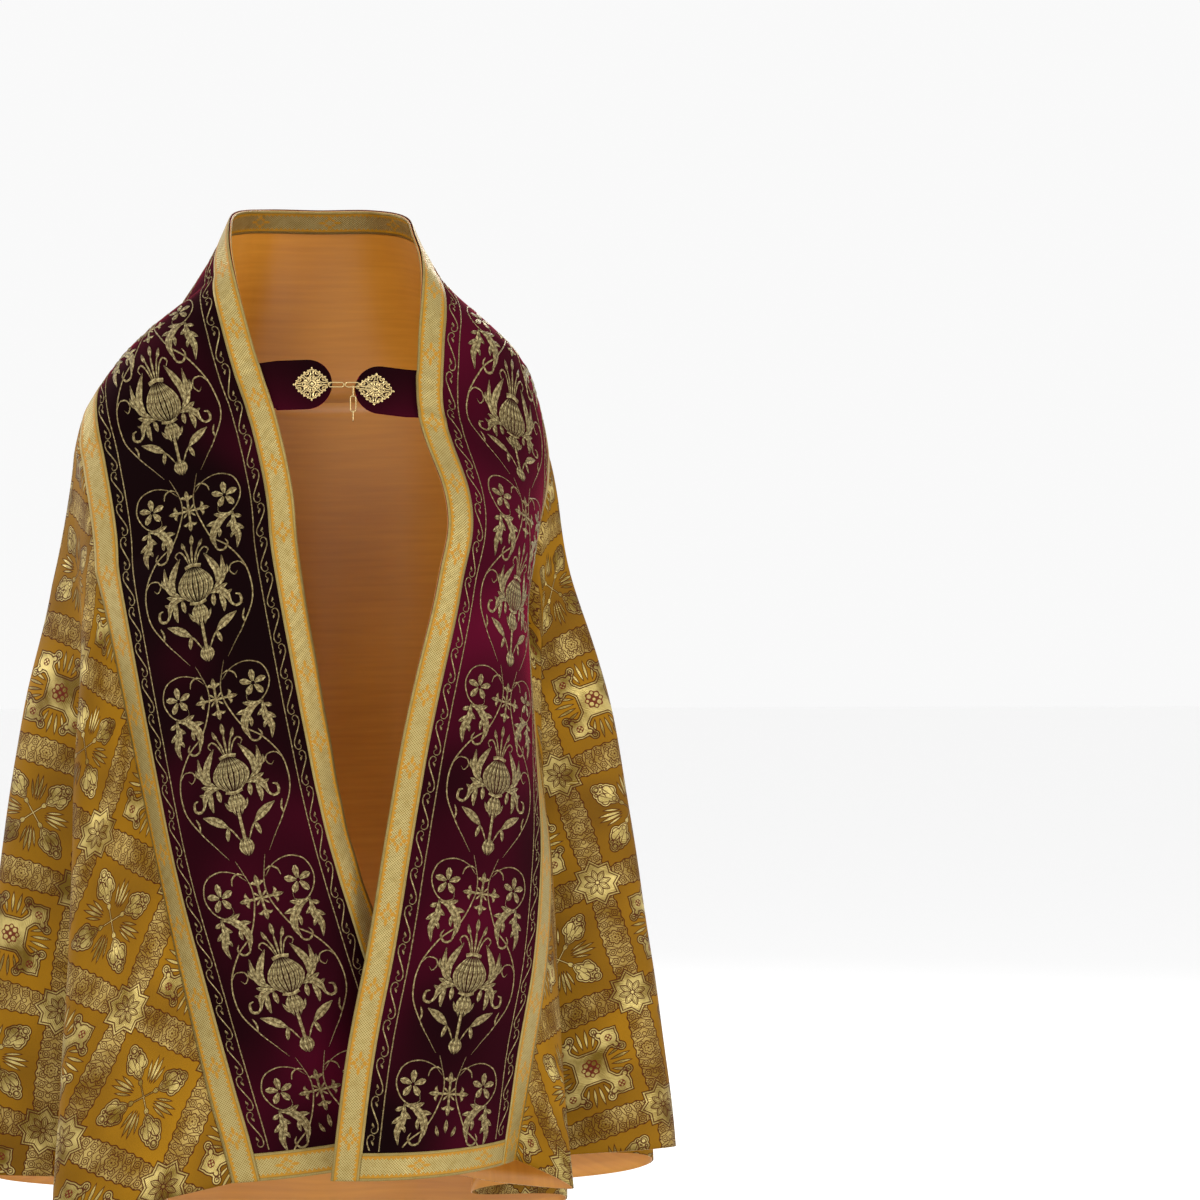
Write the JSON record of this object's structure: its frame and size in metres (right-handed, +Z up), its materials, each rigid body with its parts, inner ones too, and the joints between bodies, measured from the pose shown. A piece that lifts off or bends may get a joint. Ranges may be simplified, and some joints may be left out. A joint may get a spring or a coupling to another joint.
{
  "type": "cope vestment",
  "caption": "Semicircular brocade cope worn over the shoulders, with a velvet orphrey, gold galloons, a fringed hood at the back and a hook and ring clasp.",
  "frame": {"origin": "middle of the neck opening, at the height where the wearer's shoulders carry the cope", "axes": "+Z up, the wearer faces -Y, +X to the wearer's left"},
  "size_m": [0.8481, 0.6481, 1.3212],
  "materials": {
    "brocade": "mustard gold silk brocade with pale metal thread",
    "satin": "orange gold satin lining",
    "velvet": "deep wine pile velvet",
    "galloon": "woven metallic gold braid",
    "fringe": "twisted gold bullion",
    "metal": "pale gilt, pierced"
  },
  "bodies": {
    "cope": {"lining": "satin", "body_back": "brocade", "body_left_side": "brocade", "body_right_side": "brocade", "orphrey_left": "velvet", "orphrey_right": "velvet", "front_galloon_left": "galloon", "front_galloon_right": "galloon", "outer_galloon_left": "galloon", "outer_galloon_right": "galloon", "hem_galloon_left": "galloon", "hem_galloon_right": "galloon", "centre_back_galloon": "galloon", "neck_galloon_inside": "galloon", "hood": "velvet", "hood_galloon": "galloon", "hood_fringe": "fringe", "clasp_tab_left": "velvet", "clasp_tab_right": "velvet", "clasp_plate_left": "metal", "clasp_plate_right": "metal", "clasp_hook": "metal", "clasp_ring": "metal"},
    "tail": {"tail_link_upper": "metal", "tail_link_lower": "metal", "tail_drop": "metal"}
  },
  "joints": [
    {"name": "tail_swing", "type": "hinge", "parent": "cope", "child": "tail", "pos_m": [0.039, -0.12815, -0.1871], "axis": [1, 0, 0], "range_deg": [-70, 70]}
  ]
}
